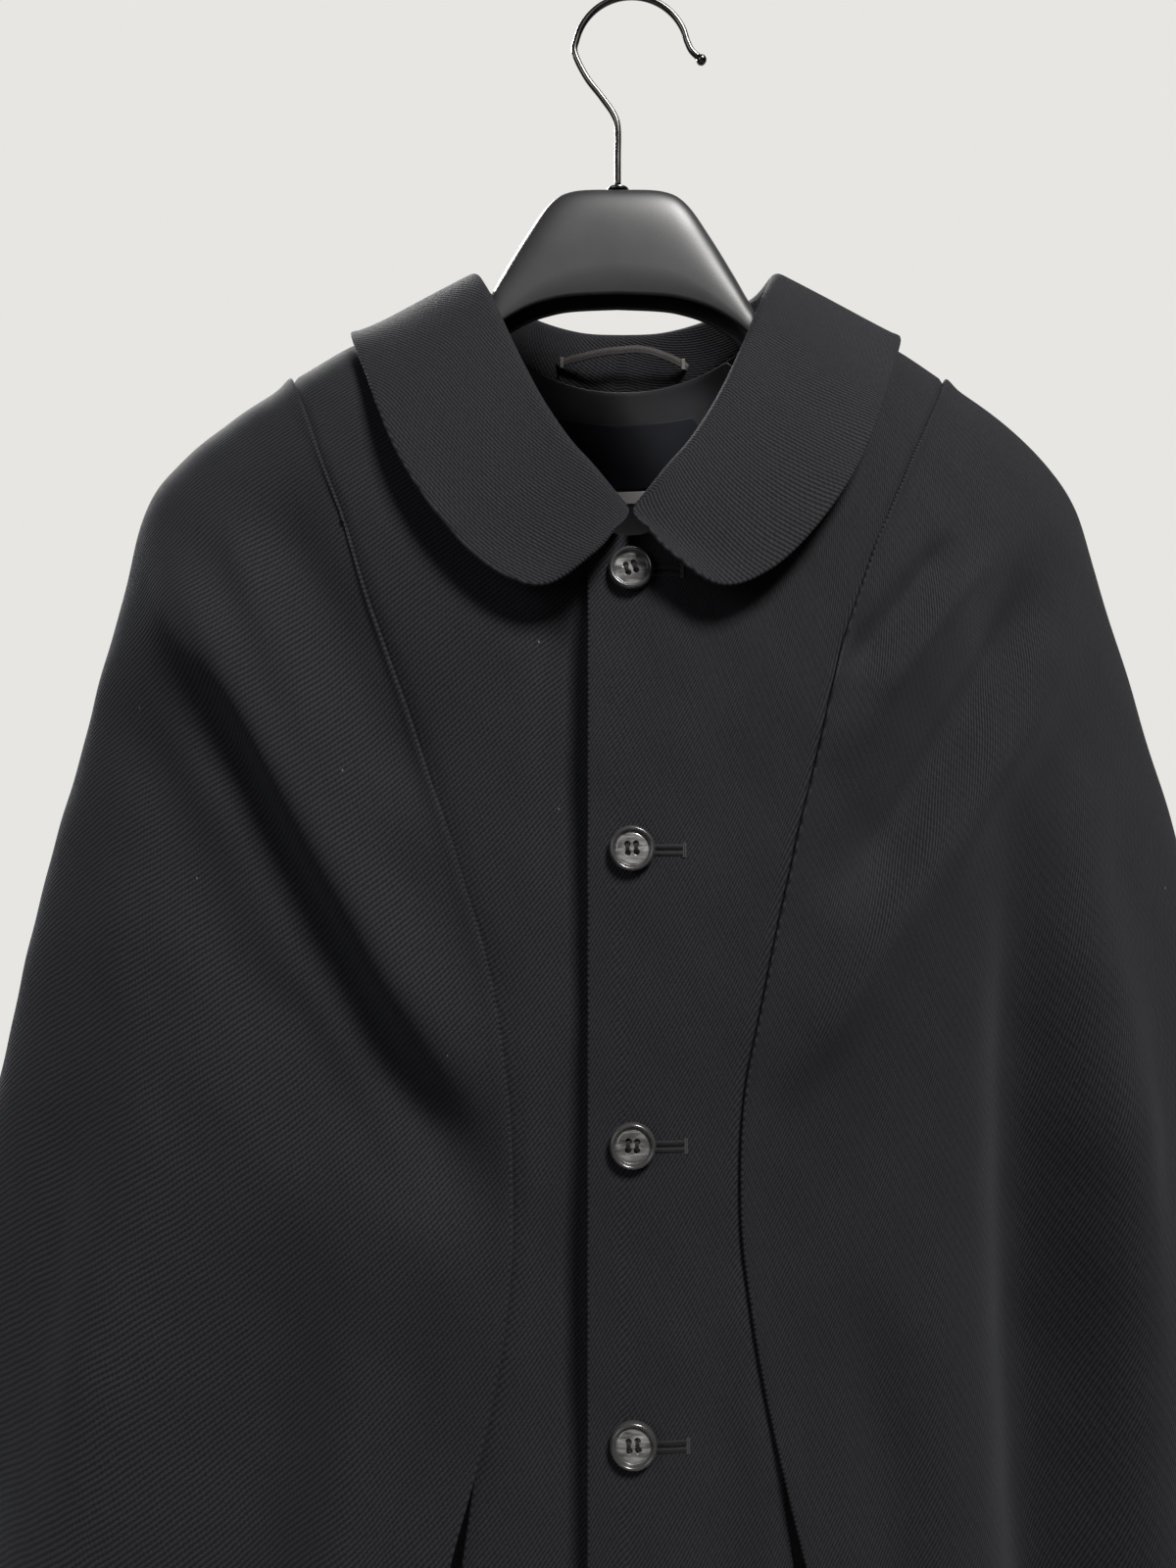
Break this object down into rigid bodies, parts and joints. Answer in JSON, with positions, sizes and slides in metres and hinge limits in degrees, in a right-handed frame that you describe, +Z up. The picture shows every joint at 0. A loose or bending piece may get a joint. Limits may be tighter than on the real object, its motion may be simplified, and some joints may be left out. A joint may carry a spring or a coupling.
{
  "type": "cape coat on a hanger",
  "caption": "Wool cape coat with a round collar, buttoned down the front, open at the neck, hem and arm slits, hung on a shaped hanger with a metal hook.",
  "frame": {"origin": "the underside of the hook's crown, where it bears on a rail", "axes": "+Z up, +X to the wearer's left, the front of the coat faces -Y and the back faces +Y"},
  "size_m": [0.8229, 0.2602, 1.0898],
  "materials": {
    "wool": "black wool twill, soft and matt",
    "satin_lining": "dark satin lining with a slight gloss",
    "label_cloth": "dark navy woven label, bare",
    "white_label": "white woven label, bare",
    "tape": "grey-brown woven tape",
    "horn": "dark grey horn-like buttons, polished",
    "hanger_plastic": "satin charcoal plastic",
    "gunmetal": "dark gunmetal plating, smooth"
  },
  "bodies": {
    "root": {"front_left": "wool", "front_right": "wool", "cape_left": "wool", "cape_right": "wool", "back": "wool", "collar": "wool", "neck_lining": "satin_lining", "neck_label": "label_cloth", "care_label": "white_label", "hanging_loop": "tape", "button_1": "horn", "button_2": "horn", "button_3": "horn", "button_4": "horn", "button_5": "horn", "hanger_body": "hanger_plastic", "hanger_hook": "gunmetal", "hook_ferrule": "gunmetal"}
  },
  "joints": []
}
